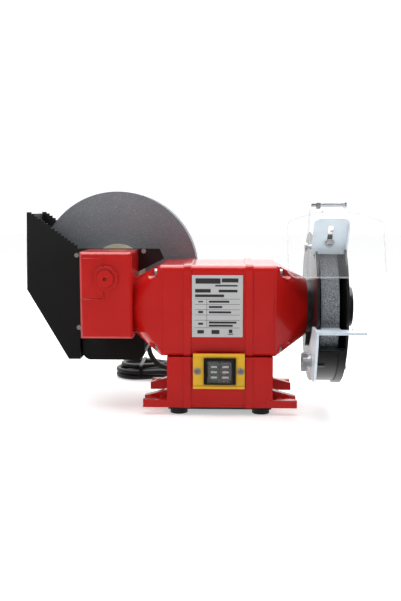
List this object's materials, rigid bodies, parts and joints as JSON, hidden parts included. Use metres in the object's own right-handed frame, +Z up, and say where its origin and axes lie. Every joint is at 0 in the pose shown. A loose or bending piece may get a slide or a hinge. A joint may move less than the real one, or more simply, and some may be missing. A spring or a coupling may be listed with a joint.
{
  "type": "wet and dry bench grinder",
  "caption": "Bench grinder with a fast dry wheel under a guard on the right and a slow wet wheel with a water trough, driven by a worm gear, on the left.",
  "frame": {"origin": "middle of the four open bench slots, on the surface that the rubber feet stand on", "axes": "+X along the motor shaft towards the dry wheel, +Y away from the user, +Z up"},
  "size_m": [0.4107, 0.2948, 0.254],
  "materials": {
    "red_paint": "cast aluminium under glossy red paint",
    "black_plastic": "black moulded plastic",
    "black_guard": "cast guard under black paint",
    "zinc_steel": "zinc plated sheet",
    "screw_steel": "bright zinc",
    "turned_steel": "turned",
    "core_steel": "stacked laminations",
    "winding": "varnished copper wire bundle",
    "dry_stone": "coarse grey vitrified abrasive",
    "wet_stone": "porous grey wet abrasive",
    "hub_plastic": "cream plastic",
    "bronze": "sintered bronze",
    "yellow_plate": "yellow moulded plastic",
    "label_foil": "printed silver foil",
    "clear_plastic": "clear polycarbonate",
    "clear_cover": "clear soft splash cover",
    "button_green": "green push button",
    "button_red": "red push button",
    "rubber": "black rubber",
    "cord_rubber": "black mains lead",
    "black_sheet": "black painted sheet",
    "white_can": "white can",
    "terminal": "ivory plastic"
  },
  "bodies": {
    "housing": {"motor_body": "red_paint", "left_end_bell": "red_paint", "right_end_bell": "red_paint", "base_plate": "black_sheet", "rubber_feet": "rubber", "rating_plate": "label_foil", "switch_plate": "yellow_plate", "switch_plate_screws": "screw_steel", "switch_body": "black_plastic", "switch_cover": "clear_cover", "capacitor": "white_can", "terminal_block": "terminal", "stator_core": "core_steel", "stator_windings": "winding", "left_bearing_outer": "turned_steel", "right_bearing_outer": "turned_steel", "gear_case": "red_paint", "gear_case_lid": "red_paint", "boss_cap": "red_paint", "worm_bush": "bronze", "front_shaft_bush": "bronze", "rear_shaft_bush": "bronze", "shaft_seal": "rubber", "wheel_cover": "black_plastic", "cover_bracket": "zinc_steel", "water_trough": "black_plastic", "m4_screws": "screw_steel", "guard_shell": "black_guard", "guard_cover": "black_guard", "guard_collar": "black_guard", "m5_screws": "screw_steel", "guard_bracket_screws": "screw_steel", "shield_bracket": "clear_plastic", "shield_bolt": "screw_steel", "cord_relief": "rubber", "power_cord": "cord_rubber", "cord_hank": "cord_rubber", "hank_tie": "black_plastic", "plug": "cord_rubber"},
    "rotor": {"left_bearing_inner": "turned_steel", "right_bearing_inner": "turned_steel", "rotor_shaft": "turned_steel", "rotor_core": "core_steel", "worm": "turned_steel", "inner_flange": "turned_steel", "outer_flange": "turned_steel", "dry_wheel": "dry_stone", "wheel_nut": "screw_steel"},
    "wet_arbor": {"wet_shaft": "turned_steel", "worm_gear": "bronze", "wet_inner_flange": "hub_plastic", "wet_wheel": "wet_stone", "wet_outer_flange": "turned_steel", "wet_nut": "screw_steel"},
    "spark_plate": {"spark_guard": "zinc_steel"},
    "shield": {"eye_shield": "clear_plastic"},
    "rest": {"work_rest": "zinc_steel"},
    "wing": {"wing_bolt": "screw_steel"},
    "on_key": {"on_button": "button_green"},
    "off_key": {"off_button": "button_red"}
  },
  "joints": [
    {"name": "rotor_spin", "type": "hinge", "parent": "housing", "child": "rotor", "pos_m": [0, 0, 0.118], "axis": [1, 0, 0], "continuous": true},
    {"name": "wet_wheel_spin", "type": "hinge", "parent": "housing", "child": "wet_arbor", "pos_m": [-0.13, 0, 0.154], "axis": [0, 1, 0], "continuous": true},
    {"name": "spark_guard_slide", "type": "slide", "parent": "housing", "child": "spark_plate", "axis": [0, -0.5592, 0.829], "range_m": [-0.003, 0]},
    {"name": "shield_tilt", "type": "hinge", "parent": "housing", "child": "shield", "pos_m": [0.1217, -0.06, 0.2374], "axis": [1, 0, 0], "range_deg": [-100, 0]},
    {"name": "work_rest_slide", "type": "slide", "parent": "housing", "child": "rest", "axis": [0, 1, 0], "range_m": [-0.02, 0]},
    {"name": "wing_bolt_turn", "type": "hinge", "parent": "housing", "child": "wing", "pos_m": [0.1, -0.062, 0.0635], "axis": [1, 0, 0], "range_deg": [-360, 0]},
    {"name": "on_press", "type": "slide", "parent": "housing", "child": "on_key", "axis": [0, 1, 0], "range_m": [0, 0.002], "stiffness_N_per_m": 500},
    {"name": "off_press", "type": "slide", "parent": "housing", "child": "off_key", "axis": [0, 1, 0], "range_m": [0, 0.002], "stiffness_N_per_m": 500}
  ],
  "couplings": [
    {"joint": "wet_wheel_spin", "follows": "rotor_spin", "ratio": 0.045455}
  ]
}
